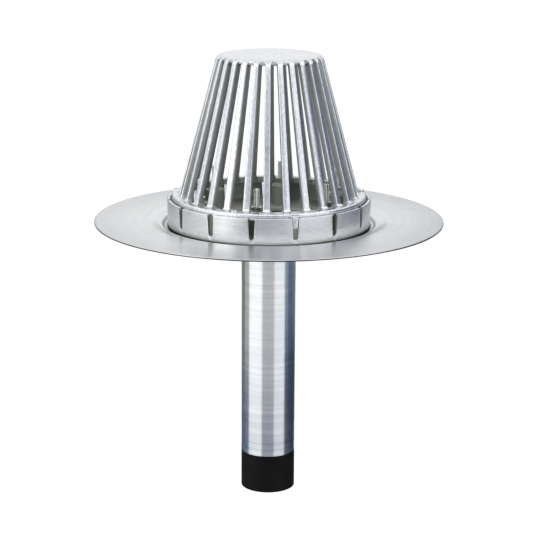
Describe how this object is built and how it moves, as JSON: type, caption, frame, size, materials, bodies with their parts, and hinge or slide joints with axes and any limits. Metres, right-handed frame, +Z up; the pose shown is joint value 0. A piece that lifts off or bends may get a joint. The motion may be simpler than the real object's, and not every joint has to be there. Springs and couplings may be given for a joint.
{
  "type": "flat roof drain",
  "caption": "Flat roof drain with a spun aluminium deck flange and stem, rubber pipe seal, slotted clamping ring on welded studs and a ribbed conical dome strainer.",
  "frame": {"origin": "centre of the deck flange, on its underside, which is the plane that seats on the roof deck", "axes": "+Z up out of the roof along the drain's axis, -Y to the front, +X to the right"},
  "size_m": [0.4444, 0.4444, 0.5705],
  "materials": {
    "spun_aluminium": "spun, satin",
    "cast_aluminium": "as cast, fine grain",
    "stainless_steel": "bright zinc-grey, turned",
    "black_rubber": "moulded, matt"
  },
  "bodies": {
    "root": {"drain_body": "spun_aluminium", "pipe_seal": "black_rubber", "clamping_ring": "cast_aluminium", "strainer_dome": "cast_aluminium", "stud_1": "stainless_steel", "stud_2": "stainless_steel", "stud_3": "stainless_steel", "stud_4": "stainless_steel", "stud_5": "stainless_steel", "stud_6": "stainless_steel", "washer_1": "stainless_steel", "washer_2": "stainless_steel", "washer_3": "stainless_steel", "washer_4": "stainless_steel", "washer_5": "stainless_steel", "washer_6": "stainless_steel", "nut_1": "stainless_steel", "nut_2": "stainless_steel", "nut_3": "stainless_steel", "nut_4": "stainless_steel", "nut_5": "stainless_steel", "nut_6": "stainless_steel", "dome_screw_1": "stainless_steel", "dome_screw_2": "stainless_steel", "dome_screw_3": "stainless_steel"}
  },
  "joints": []
}
